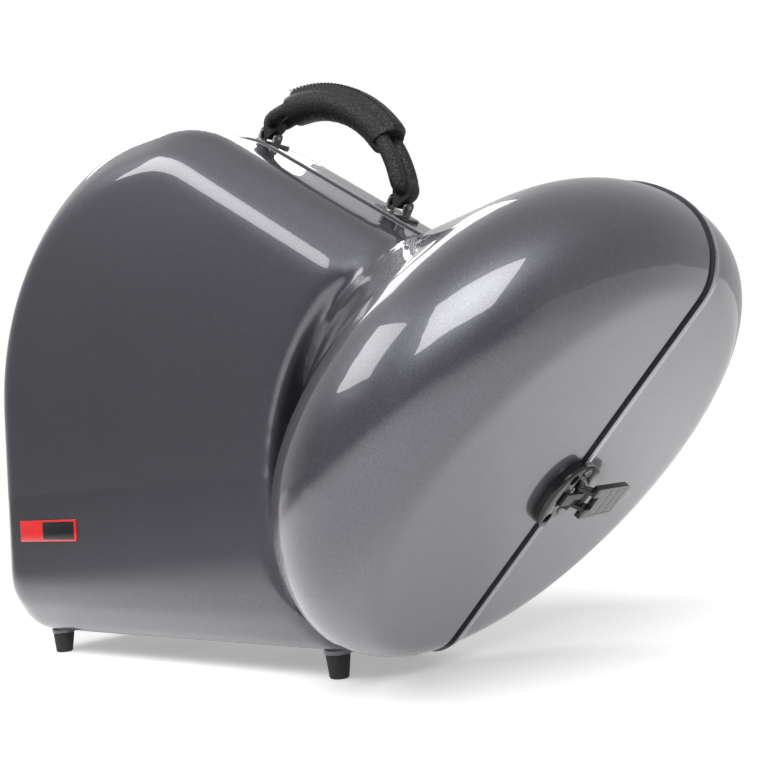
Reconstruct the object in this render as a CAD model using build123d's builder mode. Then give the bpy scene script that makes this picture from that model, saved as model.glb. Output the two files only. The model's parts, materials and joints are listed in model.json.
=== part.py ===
from build123d import *
import math
import os

os.makedirs("parts", exist_ok=True)

# Driving dimensions in millimetres.
# X runs along the case, Y through its depth and Z up. The two moulded halves part at the plane Y = 0.

# Moulded shell
wall = 3.0
seam_gap = 5.0
floor_height = 18.5

# Wrap tray, the flat part of the case that holds the coiled tubing
tray_left = -298.4
tray_half_depth = 77.0
tray_top = 402.5
crown_radius = 200.0
crest_run = 20.0
brow_radius = 110.0
brow_angle = 35.0
tray_corner_radius = 46.0
valley_x = 141.6
tray_foot_x = 70.6
waist_x = 35.6
waist_z = 150.0
bevel_width = 30.0
bevel_depth = 23.0
bevel_rounding = 22.0
panel_ridge_rounding = 16.0

# Bell drum, tilted so that its mouth looks down and outwards
mouth_x = 215.3
mouth_z = 123.4
mouth_tilt = 46.7
drum_half_length = 169.0
drum_half_depth = 190.0
drum_top_rounding = 44.0
drum_foot_rounding = 30.0
drum_side_rounding = 48.0
shoulder_top_radius = 75.0
shoulder_foot_radius = 95.0
shoulder_side_radius = 130.0
shoulder_turn = 45.0
first_oval = 15.0
throat_depth = 182.0
throat_radius = 52.0

# Lining and foam
lining_clearance = 0.9
lining_thickness = 9.0
soft_clearance = 0.3
horn_ring_radius = 125.0
ring_centre_x = -102.0
ring_centre_z = 215.0
wrap_block_radius = 62.0
wrap_block_height = 38.0
saddle_depth = 150.0
saddle_thickness = 26.0
saddle_radius = 100.0
bell_throat_radius = 48.0
divider_thickness = 12.0

# Seal in the parting line
seal_inset = 0.6
seal_depth = 5.5
seal_clearance = 0.3

# Rubber feet
foot_x = (-252.0, 52.0)
foot_y = 40.0
foot_height = 16.0
foot_top_radius = 8.5
foot_tip_radius = 6.5
boss_radius = 9.5
boss_top = 30.0
foot_screw_radius = 2.0
foot_screw_head_radius = 4.0
foot_screw_head_height = 3.0
foot_screw_recess = 5.0
foot_edge_rounding = 1.5
fit_clearance = 0.1

# Hinges under the parting line
hinge_x = (-157.0, -17.0)
hinge_z = 12.0
hinge_length = 56.0
hinge_leaf_width = 20.0
hinge_leaf_thickness = 1.6
knuckle_radius = 3.0
hinge_pin_radius = 1.5
pin_fit = 0.05
knuckle_count = 5
knuckle_gap = 0.4
rivet_radius = 2.0
rivet_head_radius = 3.6
rivet_head_height = 1.2
rivet_step = 18.0
rivet_outset = 2.0

# Handle, hinged so that it folds to either side
anchor_left_x = -41.4
anchor_right_x = 84.6
handle_y = 21.0
handle_pin_lift = 8.8
handle_pin_radius = 2.0
handle_rise = 53.0
cord_radius = 6.0
cord_spacing = 15.0
cord_end_inset = 8.5
cord_start_lift = 24.0
cord_fit = 0.1
sleeve_half_width = 15.5
sleeve_half_height = 12.5
sleeve_share = 0.66
anchor_plate = 2.0
anchor_length = 27.0
anchor_width = 26.0
anchor_ear = 3.0
anchor_ear_radius = 3.8
anchor_screw_y = 9.0
anchor_corner = 4.0
strap_thickness = 2.6
strap_width = 9.0
strap_knuckle = 12.0

# Draw latches, one on the mouth face and one on the end wall of the wrap tray
mouth_latch_shift = -12.0
end_latch_z = 190.0
keeper_length = 50.0
keeper_width = 22.0
keeper_height = 7.0
pocket_depth = 12.5
pocket_floor = 2.0
latch_base_length = 46.0
latch_base_width = 40.0
latch_plate = 2.4
latch_sink = 4.0
keeper_ledge = 3.0
keeper_rivet_x = 15.0
keeper_rivet_y = 10.0
base_rivet_x = 15.0
base_rivet_y = 14.0
pocket_width = 10.6
lever_length = 52.0
lever_width = 24.0
lever_thickness = 4.0
lever_start = 14.5
lever_under = 10.8
lever_slot_end = 22.0
cheek_end = 34.0
lever_pivot_y = 8.5
lever_pivot_lift = 5.2
ear_radius = 2.6
link_pivot_y = 17.5
link_pivot_lift = 8.0
link_width = 9.0
link_thickness = 2.0
link_reach = 9.0
lip_gap = 0.5
latch_pin_radius = 1.3
latch_knuckle_radius = 2.4
cheek = 2.4
cheek_gap = 0.4
inlay_count = 3
inlay_depth = 0.8
inlay_edge = 2.0
inlay_line = 1.2
inlay_clearance = 0.05
keeper_rounding = 2.5

tilt = math.radians(mouth_tilt)
along = Vector(math.cos(tilt), 0, math.sin(tilt))
outward = Vector(math.sin(tilt), 0, -math.cos(tilt))
mouth_centre = Vector(mouth_x, 0, mouth_z)
half_gap = seam_gap / 2
slope = math.radians(brow_angle)
crown_x = tray_left + crown_radius
brow_x = crown_x + crest_run
brow_z = tray_top - brow_radius


def brow_end(inset):
    """Where the brow arc meets the straight slope that carries the handle."""
    radius = brow_radius - inset
    return (brow_x + radius * math.sin(slope), brow_z + radius * math.cos(slope))


def tray_block(inset):
    """The wrap tray with square edges, its skin moved inwards by inset."""
    left = tray_left + inset
    bottom = floor_height + inset
    corner = tray_corner_radius - inset
    crown_z = tray_top - crown_radius
    start = brow_end(inset)
    valley = valley_x - inset
    valley_z = start[1] - (valley - start[0]) * math.tan(slope)
    foot = (tray_foot_x - inset, bottom)
    with BuildPart() as block:
        with BuildSketch(Plane.XZ):
            with BuildLine():
                Line((left + corner, bottom), foot)
                ThreePointArc(foot, (waist_x - inset, waist_z), (valley, valley_z))
                Line((valley, valley_z), start)
                CenterArc((brow_x, brow_z), brow_radius - inset, 90 - brow_angle, brow_angle)
                Line((brow_x, tray_top - inset), (crown_x, tray_top - inset))
                CenterArc((crown_x, crown_z), crown_radius - inset, 90, 90)
                Line((left, crown_z), (left, bottom + corner))
                CenterArc((left + corner, bottom + corner), corner, 180, 90)
            make_face()
        extrude(amount=tray_half_depth - inset, both=True)
    return block.part


def edges_in_plane(solid, y):
    """The edges that lie wholly in the plane at this Y."""
    flat = solid.edges().filter_by_position(Axis.Y, y - 0.01, y + 0.01)
    return ShapeList(edge for edge in flat if edge.bounding_box().size.Y < 0.01)


def is_waist(edge):
    """The concave edge that faces the bell drum keeps no bevel."""
    middle = edge.center()
    return middle.X > waist_x - 20 and floor_height + 30 < middle.Z < brow_z


def tray_form(inset):
    """The wrap tray with its broad bevel and soft ridges."""
    half = tray_half_depth - inset
    body = tray_block(inset)
    # An even wall needs a slightly smaller bevel on the inner skin.
    spare = bevel_width + bevel_depth - math.hypot(bevel_width, bevel_depth)
    across = bevel_width - inset * spare / bevel_depth
    down = bevel_depth - inset * spare / bevel_width
    for side in (-1, 1):
        panel = body.faces().sort_by(Axis.Y)[0 if side < 0 else -1]
        rim = ShapeList(edge for edge in edges_in_plane(body, side * half) if not is_waist(edge))
        body = body.chamfer(across, down, rim, face=panel)
    shoulders = edges_in_plane(body, half - down) + edges_in_plane(body, down - half)
    body = body.fillet(bevel_rounding - inset, shoulders)
    ridges = edges_in_plane(body, half) + edges_in_plane(body, -half)
    return body.fillet(panel_ridge_rounding - inset, ridges)


def oval_plane(top, foot):
    """A plane across the case through two points of the parting plane."""
    axis = (top - foot).normalized()
    return Plane(origin=(top + foot) / 2, x_dir=axis, z_dir=axis.cross(Vector(0, 1, 0)))


def drum_ovals(inset):
    """Ovals from the mouth face round the rim to the shoulder: top point, foot point and half width."""
    half = drum_half_length - inset
    width = drum_half_depth - inset
    top_rim = drum_top_rounding - inset
    foot_rim = drum_foot_rounding - inset
    side_rim = drum_side_rounding - inset
    top_back = shoulder_top_radius - inset
    foot_back = shoulder_foot_radius - inset
    side_back = shoulder_side_radius - inset
    ovals = []
    for angle in (first_oval, 40, 65, 90):
        pull = 1 - math.sin(math.radians(angle))
        sink = 1 - math.cos(math.radians(angle))
        top = along * (half - top_rim * pull) - outward * (inset + top_rim * sink)
        foot = along * (foot_rim * pull - half) - outward * (inset + foot_rim * sink)
        ovals.append((mouth_centre + top, mouth_centre + foot, width - side_rim * pull))
    for angle in (shoulder_turn / 3, 2 * shoulder_turn / 3, shoulder_turn):
        pull = 1 - math.cos(math.radians(angle))
        reach = math.sin(math.radians(angle))
        top = along * (half - top_back * pull) - outward * (inset + top_rim + top_back * reach)
        foot = along * (foot_back * pull - half) - outward * (inset + foot_rim + foot_back * reach)
        ovals.append((mouth_centre + top, mouth_centre + foot, width - side_back * pull))
    return ovals


def case_form(inset):
    """The whole outer form of the closed case, its skin moved inwards by inset."""
    ovals = drum_ovals(inset)
    neck_top, neck_foot, neck_half_width = ovals[-1]
    throat = Plane(origin=mouth_centre - outward * throat_depth, x_dir=along, z_dir=outward)
    with BuildPart() as form:
        add(tray_form(inset))
        for top, foot, half_width in ovals:
            with BuildSketch(oval_plane(top, foot)):
                Ellipse((top - foot).length / 2, half_width)
        loft()
        with BuildSketch(oval_plane(neck_top, neck_foot)):
            Ellipse((neck_top - neck_foot).length / 2, neck_half_width)
        with BuildSketch(throat):
            Circle(throat_radius - inset)
        loft(ruled=True)
    return form.part


def slab(y_low, y_high):
    """A block as large as the case between two Y planes."""
    with BuildPart(mode=Mode.PRIVATE) as block:
        with BuildSketch(Plane.XZ.offset(-y_high)):
            with Locations((0, tray_top / 2)):
                Rectangle(3 * tray_top, 2 * tray_top)
        extrude(amount=y_high - y_low)
    return block.part


far = 2 * drum_half_depth
outer_form = case_form(0)
cavity_form = case_form(wall)
lining_form = case_form(wall + lining_clearance)
room_form = case_form(wall + lining_clearance + lining_thickness)


web_inner = knuckle_radius - hinge_leaf_thickness
leaf_centre_y = (web_inner + hinge_leaf_width) / 2
plate_depth = wall + hinge_leaf_thickness
hinge_rivet_x = [x + step for x in hinge_x for step in (-rivet_step, rivet_step)]


def hinge_rivet_planes(side):
    """Where the rivets of both hinges leave the underside of the leaves."""
    under = floor_height - hinge_leaf_thickness
    return [Plane(origin=(x, side * (leaf_centre_y + rivet_outset), under), z_dir=(0, 0, -1)) for x in hinge_rivet_x]


mouth_sink = (drum_top_rounding + drum_foot_rounding) / 2 * (1 - math.cos(math.radians(first_oval)))
mouth_latch_origin = mouth_centre + along * mouth_latch_shift - outward * mouth_sink
mouth_latch_plane = Plane(origin=mouth_latch_origin, x_dir=along * -1, z_dir=outward)
end_latch_plane = Plane(origin=(tray_left, 0, end_latch_z), x_dir=(0, 0, 1), z_dir=(-1, 0, 0))
latch_planes = {"mouth": mouth_latch_plane, "end": end_latch_plane}


def spots(plane, places, lift):
    """Planes parallel to a latch plane, each at a place on it and lifted off it."""
    return [
        Plane(origin=plane.from_local_coords((x, y, lift)), x_dir=plane.x_dir, z_dir=plane.z_dir) for x, y in places
    ]


keeper_rivet_places = [(-keeper_rivet_x, -keeper_rivet_y), (keeper_rivet_x, -keeper_rivet_y)]
base_rivet_places = [(-base_rivet_x, base_rivet_y), (base_rivet_x, base_rivet_y)]
keeper_spots = []
base_spots = []
for plane in latch_planes.values():
    keeper_spots += spots(plane, keeper_rivet_places, keeper_ledge)
    base_spots += spots(plane, base_rivet_places, latch_plate)

# The handle stands on the sloping top wall of the back half, along the chord between its two anchors.
anchor_left = Vector(anchor_left_x, handle_y, brow_z + math.sqrt(brow_radius**2 - (anchor_left_x - brow_x) ** 2))
slope_start = brow_end(0)
anchor_right_z = slope_start[1] - (anchor_right_x - slope_start[0]) * math.tan(slope)
anchor_right = Vector(anchor_right_x, handle_y, anchor_right_z)
handle_along = (anchor_right - anchor_left).normalized()
handle_up = Vector(0, 1, 0).cross(handle_along) * -1
handle_centre = (anchor_left + anchor_right) / 2
half_span = (anchor_right - anchor_left).length / 2

# The loop of cord: two arched strands side by side, joined by a half turn at each end.
chord_half = half_span - cord_end_inset
rise = handle_rise - cord_start_lift
bow_radius = (chord_half**2 + rise**2) / (2 * rise)
bow_centre = handle_rise - bow_radius
end_angle = math.asin(chord_half / bow_radius)
strand = cord_spacing / 2
turn_x = chord_half + strand * math.cos(end_angle)
turn_z = cord_start_lift - strand * math.sin(end_angle)


def at_handle(x, y, z):
    """A point given along the handle, across it and above its chord."""
    return handle_centre + handle_along * x + Vector(0, y, 0) + handle_up * z


def anchor_plane(end):
    """The top of an anchor plate, parallel to the top wall beneath it."""
    middle = at_handle(end * turn_x, 0, 0)
    if end < 0:
        brow_centre = Vector(brow_x, handle_y, brow_z)
        normal = (middle - brow_centre).normalized()
        return Plane(origin=brow_centre + normal * (brow_radius + anchor_plate), x_dir=(0, 1, 0), z_dir=normal)
    normal = Vector(math.sin(slope), 0, math.cos(slope))
    height = (middle - Vector(slope_start[0], handle_y, slope_start[1])).dot(normal)
    return Plane(origin=middle + normal * (anchor_plate - height), x_dir=(0, 1, 0), z_dir=normal)


anchor_screw_places = [(-anchor_screw_y, 0), (anchor_screw_y, 0)]
anchor_screw_planes = spots(anchor_plane(-1), anchor_screw_places, 0) + spots(anchor_plane(1), anchor_screw_places, 0)


def drill(planes, radius, depth):
    """Round holes straight down from each plane."""
    for plane in planes:
        with BuildSketch(plane) as hole:
            Circle(radius)
        extrude(hole.sketch, amount=-depth, mode=Mode.SUBTRACT)


def shell_half(side):
    """One moulded half with the bosses that its two feet are screwed to."""
    with BuildPart() as half:
        add(outer_form)
        for x in foot_x:
            with BuildSketch(Plane.XY.offset(foot_height)):
                with Locations((x, side * foot_y)):
                    Circle(boss_radius)
            extrude(amount=boss_top - foot_height)
        add(cavity_form, mode=Mode.SUBTRACT)
        add(slab(half_gap, far) if side > 0 else slab(-far, -half_gap), mode=Mode.INTERSECT)
        for x in foot_x:
            with BuildSketch(Plane.XY):
                with Locations((x, side * foot_y)):
                    Circle(foot_screw_radius + fit_clearance)
            extrude(amount=boss_top, mode=Mode.SUBTRACT)
        drill(hinge_rivet_planes(side), rivet_radius + fit_clearance, 2 * plate_depth)
        drill(base_spots if side > 0 else keeper_spots, rivet_radius + fit_clearance, 4 * wall)
        if side > 0:
            drill(anchor_screw_planes, rivet_radius + fit_clearance, 5 * wall)
    return half.part


def lining_half(side):
    """The plush lining that follows one shell half."""
    edge = half_gap + soft_clearance
    with BuildPart() as half:
        add(lining_form)
        add(slab(edge, far) if side > 0 else slab(-far, -edge), mode=Mode.INTERSECT)
        add(cavity_form, mode=Mode.INTERSECT)
        add(room_form, mode=Mode.SUBTRACT)
        for x in foot_x:
            with BuildSketch(Plane.XY):
                with Locations((x, side * foot_y)):
                    Circle(boss_radius + soft_clearance)
            extrude(amount=boss_top + lining_thickness, mode=Mode.SUBTRACT)
    return half.part


def export(part, name):
    part.label = name
    export_step(part, f"parts/{name}.step")


front_shell = shell_half(-1)
back_shell = shell_half(1)
front_lining = lining_half(-1)
back_lining = lining_half(1)

# Black rubber seal, held by the edge of the front shell
with BuildPart() as edge_seal:
    add(case_form(seal_inset))
    add(case_form(seal_inset + seal_depth), mode=Mode.SUBTRACT)
    add(slab(-half_gap, half_gap - seal_clearance), mode=Mode.INTERSECT)


# Foam that carries the horn, all in the back half
def foam_limit():
    """The room inside the back lining, less a clearance."""
    with BuildPart() as limit:
        add(case_form(wall + lining_clearance + lining_thickness + soft_clearance))
        add(slab(half_gap + soft_clearance, far), mode=Mode.INTERSECT)
    return limit.part


foam_room = foam_limit()

with BuildPart() as wrap_block:
    with BuildSketch(Plane.XZ.offset(-tray_half_depth)):
        with Locations((ring_centre_x, ring_centre_z)):
            Circle(wrap_block_radius)
    extrude(amount=tray_half_depth - wrap_block_height)
    add(foam_room, mode=Mode.INTERSECT)
    fillet(wrap_block.faces().sort_by(Axis.Y)[0].edges(), radius=soft_clearance * 20)

with BuildPart() as corner_divider:
    with BuildSketch(Plane.XZ.offset(-tray_half_depth)):
        with Locations((ring_centre_x, ring_centre_z)):
            Circle(horn_ring_radius + divider_thickness)
            Circle(horn_ring_radius, mode=Mode.SUBTRACT)
        with Locations((ring_centre_x - horn_ring_radius, ring_centre_z - horn_ring_radius)):
            Rectangle(2 * horn_ring_radius, 2 * horn_ring_radius, mode=Mode.INTERSECT)
    extrude(amount=tray_half_depth - half_gap - soft_clearance)
    add(foam_room, mode=Mode.INTERSECT)

saddle_plane = Plane(origin=mouth_centre - outward * saddle_depth, x_dir=along, z_dir=outward)
with BuildPart() as throat_saddle:
    with BuildSketch(saddle_plane):
        Circle(saddle_radius)
        Circle(bell_throat_radius, mode=Mode.SUBTRACT)
    extrude(amount=saddle_thickness)
    add(foam_room, mode=Mode.INTERSECT)

for half, name in (
    (front_shell, "front_shell"),
    (back_shell, "back_shell"),
    (front_lining, "front_lining"),
    (back_lining, "back_lining"),
    (edge_seal.part, "edge_seal"),
    (wrap_block.part, "wrap_block"),
    (corner_divider.part, "corner_divider"),
    (throat_saddle.part, "throat_saddle"),
):
    export(half, name)


# Rubber feet, tapered, each held by a screw from below
def foot(x, y):
    with BuildPart() as body:
        with BuildSketch(Plane.XY):
            with Locations((x, y)):
                Circle(foot_tip_radius)
        with BuildSketch(Plane.XY.offset(foot_height)):
            with Locations((x, y)):
                Circle(foot_top_radius)
        loft()
        fillet(body.faces().sort_by(Axis.Z)[0].edges(), radius=foot_edge_rounding)
        with Locations(Location((x, y, 0), (180, 0, 0))):
            CounterBoreHole(
                radius=foot_screw_radius + fit_clearance,
                counter_bore_radius=foot_screw_head_radius + fit_clearance,
                counter_bore_depth=foot_screw_recess,
                depth=2 * foot_height,
            )
    return body.part


def foot_screws(y):
    with BuildPart() as screws:
        for x in foot_x:
            with BuildSketch(Plane.XY.offset(foot_screw_recess)):
                with Locations((x, y)):
                    Circle(foot_screw_radius)
            extrude(amount=boss_top - foot_screw_recess)
            with BuildSketch(Plane.XY.offset(foot_screw_recess)):
                with Locations((x, y)):
                    Circle(foot_screw_head_radius)
            extrude(amount=-foot_screw_head_height)
    return screws.part


for side, half_name in ((-1, "front"), (1, "back")):
    for x, end_name in zip(foot_x, ("left", "right")):
        export(foot(x, side * foot_y), f"{half_name}_foot_{end_name}")
    export(foot_screws(side * foot_y), f"{half_name}_foot_screws")


# Hinges: the knuckles lie under the seam and the leaves are riveted to the flat bottom
def hinge_spans():
    """Start and end of each knuckle along the hinge."""
    pitch = hinge_length / knuckle_count
    return [(n * pitch - hinge_length / 2, (n + 1) * pitch - hinge_length / 2) for n in range(knuckle_count)]


leaf_low = floor_height - hinge_leaf_thickness


def hinge_leaf(centre_x, side):
    """One leaf: a plate under the shell and a web down to its share of the knuckles."""
    own = 0 if side > 0 else 1
    with BuildPart() as leaf:
        with BuildSketch(Plane.XY.offset(leaf_low)):
            with Locations((centre_x, side * leaf_centre_y)):
                Rectangle(hinge_length, hinge_leaf_width - web_inner)
        extrude(amount=hinge_leaf_thickness)
        for start, end in hinge_spans()[own::2]:
            low, high = centre_x + start + knuckle_gap / 2, centre_x + end - knuckle_gap / 2
            with BuildSketch(Plane.YZ.offset(low)):
                with Locations((0, hinge_z)):
                    Circle(knuckle_radius)
                with Locations((side * (web_inner + knuckle_radius) / 2, (hinge_z + floor_height) / 2)):
                    Rectangle(hinge_leaf_thickness, floor_height - hinge_z)
            extrude(amount=high - low)
        with BuildSketch(Plane.YZ.offset(centre_x - hinge_length)):
            with Locations((0, hinge_z)):
                Circle(hinge_pin_radius + pin_fit)
        extrude(amount=2 * hinge_length, mode=Mode.SUBTRACT)
        near = [plane for plane in hinge_rivet_planes(side) if abs(plane.origin.X - centre_x) < hinge_length]
        drill(near, rivet_radius + fit_clearance, 2 * hinge_leaf_thickness)
    return leaf.part


def rivet_group(planes):
    """Dome-headed rivets, each on its own plane with the head outwards."""
    with BuildPart() as group:
        for plane, depth in planes:
            with BuildSketch(plane):
                Circle(rivet_head_radius)
            extrude(amount=rivet_head_height, taper=30)
            with BuildSketch(plane):
                Circle(rivet_radius)
            extrude(amount=-depth)
    return group.part


hinge_names = ("left", "right")
for centre_x, name in zip(hinge_x, hinge_names):
    export(hinge_leaf(centre_x, -1), f"hinge_{name}_lid_leaf")
    export(hinge_leaf(centre_x, 1), f"hinge_{name}_body_leaf")
    with BuildPart() as hinge_pin:
        with BuildSketch(Plane.YZ.offset(centre_x - hinge_length / 2)):
            with Locations((0, hinge_z)):
                Circle(hinge_pin_radius)
        extrude(amount=hinge_length)
    export(hinge_pin.part, f"hinge_{name}_pin")


# Handle: a closed loop of leather-covered cord with a sleeve round the middle of both strands
with BuildPart() as handle_cord:
    with BuildLine() as loop:
        ThreePointArc(
            at_handle(-chord_half, -strand, cord_start_lift),
            at_handle(0, -strand, handle_rise),
            at_handle(chord_half, -strand, cord_start_lift),
        )
        ThreePointArc(
            at_handle(chord_half, -strand, cord_start_lift),
            at_handle(turn_x, 0, turn_z),
            at_handle(chord_half, strand, cord_start_lift),
        )
        ThreePointArc(
            at_handle(chord_half, strand, cord_start_lift),
            at_handle(0, strand, handle_rise),
            at_handle(-chord_half, strand, cord_start_lift),
        )
        ThreePointArc(
            at_handle(-chord_half, strand, cord_start_lift),
            at_handle(-turn_x, 0, turn_z),
            at_handle(-chord_half, -strand, cord_start_lift),
        )
    start = Plane(origin=loop.wire() @ 0, z_dir=loop.wire() % 0)
    with BuildSketch(start):
        Circle(cord_radius)
    sweep(path=loop.wire())

sleeve_angle = end_angle * sleeve_share
with BuildPart() as handle_sleeve:
    with BuildLine() as sleeve_path:
        ThreePointArc(
            at_handle(-bow_radius * math.sin(sleeve_angle), 0, bow_centre + bow_radius * math.cos(sleeve_angle)),
            at_handle(0, 0, handle_rise),
            at_handle(bow_radius * math.sin(sleeve_angle), 0, bow_centre + bow_radius * math.cos(sleeve_angle)),
        )
    sleeve_wire = sleeve_path.wire()
    with BuildSketch(Plane(origin=sleeve_wire @ 0, x_dir=(0, 1, 0), z_dir=sleeve_wire % 0)):
        Ellipse(sleeve_half_width, sleeve_half_height)
        with Locations((-strand, 0), (strand, 0)):
            Circle(cord_radius + cord_fit, mode=Mode.SUBTRACT)
    sweep(path=sleeve_wire)


with BuildPart() as cord_gap:
    with BuildSketch(start):
        Circle(cord_radius + cord_fit)
    sweep(path=loop.wire())
cord_room = cord_gap.part


def pin_plane(end):
    """A plane across the swing axis of the handle, in the middle of one anchor."""
    return Plane(origin=at_handle(end * turn_x, 0, handle_pin_lift), x_dir=(0, 1, 0), z_dir=handle_along)


def handle_strap(end):
    """The loop of leather round the cord's turn, with the knuckle that swings on the anchor's pin."""
    neck = turn_z - handle_pin_lift
    with BuildPart() as strap:
        with BuildSketch(Plane(origin=at_handle(end * turn_x, 0, turn_z), x_dir=handle_along, z_dir=(0, -1, 0))):
            Circle(cord_radius + cord_fit + strap_thickness)
        extrude(amount=strap_width / 2, both=True)
        with BuildSketch(pin_plane(end)):
            Circle(anchor_ear_radius)
            with Locations((0, neck / 2)):
                Rectangle(2 * anchor_ear_radius, neck)
        extrude(amount=strap_knuckle / 2, both=True)
        add(cord_room, mode=Mode.SUBTRACT)
        with BuildSketch(pin_plane(end)):
            Circle(handle_pin_radius + pin_fit)
        extrude(amount=strap_knuckle, both=True, mode=Mode.SUBTRACT)
    return strap.part


def handle_anchor(end):
    """A plate that follows the top wall, with two ears for the pin."""
    inner = strap_knuckle / 2 + knuckle_gap
    with BuildPart() as anchor:
        with BuildSketch(anchor_plane(end)):
            RectangleRounded(anchor_width, anchor_length, anchor_corner)
        extrude(amount=-4 * anchor_plate)
        for side in (-1, 1):
            with BuildSketch(pin_plane(end).offset(side * (inner + anchor_ear / 2))):
                Circle(anchor_ear_radius)
                with Locations((0, -handle_pin_lift)):
                    Rectangle(2 * anchor_ear_radius, 2 * handle_pin_lift)
            extrude(amount=anchor_ear / 2, both=True)
        with BuildSketch(pin_plane(end)):
            Circle(handle_pin_radius + pin_fit)
        extrude(amount=anchor_length, both=True, mode=Mode.SUBTRACT)
        drill(spots(anchor_plane(end), anchor_screw_places, anchor_length), rivet_radius + fit_clearance, far)
        add(outer_form, mode=Mode.SUBTRACT)
    return anchor.part


with BuildPart() as handle_pins:
    for end in (-1, 1):
        with BuildSketch(pin_plane(end)):
            Circle(handle_pin_radius)
        extrude(amount=strap_knuckle / 2 + knuckle_gap + anchor_ear, both=True)

export(handle_cord.part, "handle_cord")
export(handle_sleeve.part, "handle_sleeve")
export(handle_pins.part, "handle_pins")
for end, name in ((-1, "left"), (1, "right")):
    export(handle_strap(end), f"handle_strap_{name}")
    export(handle_anchor(end), f"handle_anchor_{name}")


# Draw latches: a lever on the back half, a link hung in it and a keeper on the front half
def local_box(plane, x_range, y_range, z_range, mode=Mode.ADD):
    """A box in the coordinates of a latch plane."""
    spans = (x_range, y_range, z_range)
    middle = [(low + high) / 2 for low, high in spans]
    with Locations(plane.location * Location(middle)):
        Box(*[high - low for low, high in spans], mode=mode)


def side_plane(plane, x, y, z):
    """A plane across the latch whose normal is the latch's own X, for round pins and cheeks."""
    return Plane(origin=plane.from_local_coords((x, y, z)), x_dir=plane.y_dir, z_dir=plane.x_dir)


def latch_keeper(plane):
    """A half-oval dome with a pocket that is open towards the seam."""
    with BuildPart() as keeper:
        with BuildSketch(plane.offset(-latch_sink)):
            Ellipse(keeper_length / 2, keeper_width)
            with Locations((0, keeper_width - half_gap - seal_clearance)):
                Rectangle(2 * keeper_length, 2 * keeper_width, mode=Mode.SUBTRACT)
        extrude(amount=latch_sink + keeper_height)
        top = keeper.faces().sort_by(Axis(plane.origin, plane.z_dir))[-1]
        fillet(top.edges(), radius=keeper_rounding)
        rivets = spots(plane, keeper_rivet_places, keeper_height)
        drill(rivets, rivet_head_radius + fit_clearance, keeper_height - keeper_ledge)
        drill(rivets, rivet_radius + fit_clearance, far)
        half = pocket_width / 2
        local_box(plane, (-half, half), (-pocket_depth, 0), (pocket_floor, 2 * keeper_height), mode=Mode.SUBTRACT)
        add(outer_form, mode=Mode.SUBTRACT)
    return keeper.part


def latch_base(plane):
    """An oval plate that follows the wall, with two ears for the pivot of the lever."""
    with BuildPart() as base:
        with BuildSketch(plane.offset(-latch_sink)):
            Ellipse(latch_base_length / 2, latch_base_width)
            with Locations((0, half_gap + seal_clearance - latch_base_width)):
                Rectangle(2 * latch_base_length, 2 * latch_base_width, mode=Mode.SUBTRACT)
        extrude(amount=latch_sink + latch_plate)
        for side in (-1, 1):
            with BuildSketch(side_plane(plane, side * (ear_start + cheek / 2), lever_pivot_y, lever_pivot_lift)):
                Circle(ear_radius)
                with Locations((0, -lever_pivot_lift / 2)):
                    Rectangle(2 * ear_radius, lever_pivot_lift)
            extrude(amount=cheek / 2, both=True)
        with BuildSketch(side_plane(plane, 0, lever_pivot_y, lever_pivot_lift)):
            Circle(latch_pin_radius + pin_fit)
        extrude(amount=latch_base_length, both=True, mode=Mode.SUBTRACT)
        drill(spots(plane, base_rivet_places, latch_plate), rivet_radius + fit_clearance, far)
        add(outer_form, mode=Mode.SUBTRACT)
    return base.part


cheek_start = link_width / 2 + cheek_gap
ear_start = cheek_start + cheek + cheek_gap


def inlay(plane, grow):
    """Three flat pieces let into the top of the lever."""
    top = lever_under + lever_thickness
    first = lever_slot_end + inlay_edge
    pitch = (lever_start + lever_length - lever_width / 2 - first) / inlay_count
    half = lever_width / 2 - inlay_edge + grow
    with BuildPart() as pieces:
        for n in range(inlay_count):
            low = first + n * pitch + inlay_line / 2 - grow
            high = first + (n + 1) * pitch - inlay_line / 2 + grow
            local_box(plane, (-half, half), (low, high), (top - inlay_depth, top))
    return pieces.part


def latch_lever(plane):
    """The lever plate with a round tip, on two cheeks that straddle the link."""
    recess = inlay(plane, inlay_clearance)
    straight = lever_length - lever_width / 2
    middle = lever_under + lever_thickness / 2
    with BuildPart() as lever:
        with BuildSketch(plane.offset(lever_under)):
            with Locations((0, lever_start + straight / 2)):
                Rectangle(lever_width, straight)
            with Locations((0, lever_start + straight)):
                Circle(lever_width / 2)
            with Locations((0, lever_slot_end / 2)):
                Rectangle(2 * cheek_start, lever_slot_end, mode=Mode.SUBTRACT)
        extrude(amount=lever_thickness)
        for side in (-1, 1):
            with BuildSketch(side_plane(plane, side * (cheek_start + cheek / 2), 0, 0)):
                with BuildLine():
                    Polyline(
                        (lever_pivot_y, lever_pivot_lift - ear_radius),
                        (cheek_end, middle),
                        (lever_start, middle),
                        (lever_pivot_y, lever_pivot_lift + ear_radius),
                        close=True,
                    )
                make_face()
                with Locations((lever_pivot_y, lever_pivot_lift)):
                    Circle(ear_radius)
            extrude(amount=cheek / 2, both=True)
        for y, z in ((lever_pivot_y, lever_pivot_lift), (link_pivot_y, link_pivot_lift)):
            with BuildSketch(side_plane(plane, 0, y, z)):
                Circle(latch_pin_radius + pin_fit)
            extrude(amount=lever_width, both=True, mode=Mode.SUBTRACT)
        add(recess, mode=Mode.SUBTRACT)
    return lever.part


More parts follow.
